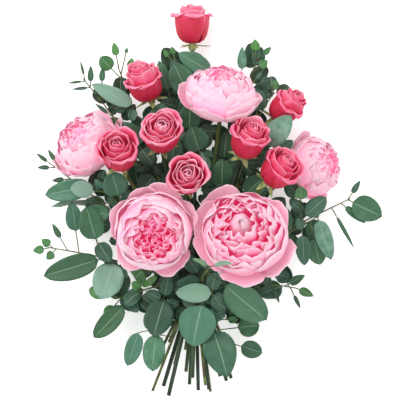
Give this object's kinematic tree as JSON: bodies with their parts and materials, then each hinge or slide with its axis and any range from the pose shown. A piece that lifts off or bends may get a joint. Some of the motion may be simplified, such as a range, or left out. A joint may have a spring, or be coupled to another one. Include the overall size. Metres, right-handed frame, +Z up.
{
  "type": "peony and rose bouquet",
  "caption": "Hand-tied bouquet of pink peonies, hot pink roses and eucalyptus, lying on its back, with its bare cut stems fanned below the tie.",
  "frame": {"origin": "under the middle of the bouquet's bounding box, on the table it lies on", "axes": "+Y from the cut ends to the top flowers, +X to the right of the bouquet seen from above with the flowers away, +Z up from the table to the side the flowers face"},
  "size_m": [0.5124, 0.5694, 0.1855],
  "materials": {
    "peony_inner_petals": "matte",
    "peony_guard_petals": "matte",
    "rose_petals": "matte",
    "sepals": "matte",
    "flower_stems": "satin",
    "eucalyptus": "satin",
    "raffia": "matte"
  },
  "bodies": {
    "root": {"peony_1_inner_petals": "peony_inner_petals", "peony_1_guard_petals": "peony_guard_petals", "peony_1_sepals": "sepals", "peony_1_stem": "flower_stems", "peony_2_inner_petals": "peony_inner_petals", "peony_2_guard_petals": "peony_guard_petals", "peony_2_sepals": "sepals", "peony_2_stem": "flower_stems", "peony_3_inner_petals": "peony_inner_petals", "peony_3_guard_petals": "peony_guard_petals", "peony_3_sepals": "sepals", "peony_3_stem": "flower_stems", "peony_4_inner_petals": "peony_inner_petals", "peony_4_guard_petals": "peony_guard_petals", "peony_4_sepals": "sepals", "peony_4_stem": "flower_stems", "peony_5_inner_petals": "peony_inner_petals", "peony_5_guard_petals": "peony_guard_petals", "peony_5_sepals": "sepals", "peony_5_stem": "flower_stems", "rose_1_petals": "rose_petals", "rose_1_sepals": "sepals", "rose_1_stem": "flower_stems", "rose_2_petals": "rose_petals", "rose_2_sepals": "sepals", "rose_2_stem": "flower_stems", "rose_3_petals": "rose_petals", "rose_3_sepals": "sepals", "rose_3_stem": "flower_stems", "rose_4_petals": "rose_petals", "rose_4_sepals": "sepals", "rose_4_stem": "flower_stems", "rose_5_petals": "rose_petals", "rose_5_sepals": "sepals", "rose_5_stem": "flower_stems", "rose_6_petals": "rose_petals", "rose_6_sepals": "sepals", "rose_6_stem": "flower_stems", "rose_7_petals": "rose_petals", "rose_7_sepals": "sepals", "rose_7_stem": "flower_stems", "rose_8_petals": "rose_petals", "rose_8_sepals": "sepals", "rose_8_stem": "flower_stems", "eucalyptus_branch_1": "eucalyptus", "eucalyptus_branch_2": "eucalyptus", "eucalyptus_branch_3": "eucalyptus", "eucalyptus_branch_4": "eucalyptus", "eucalyptus_branch_5": "eucalyptus", "eucalyptus_branch_6": "eucalyptus", "eucalyptus_branch_7": "eucalyptus", "eucalyptus_branch_8": "eucalyptus", "eucalyptus_branch_9": "eucalyptus", "eucalyptus_branch_10": "eucalyptus", "eucalyptus_branch_11": "eucalyptus", "eucalyptus_branch_12": "eucalyptus", "eucalyptus_branch_13": "eucalyptus", "eucalyptus_branch_14": "eucalyptus", "eucalyptus_branch_15": "eucalyptus", "raffia_tie": "raffia"}
  },
  "joints": []
}
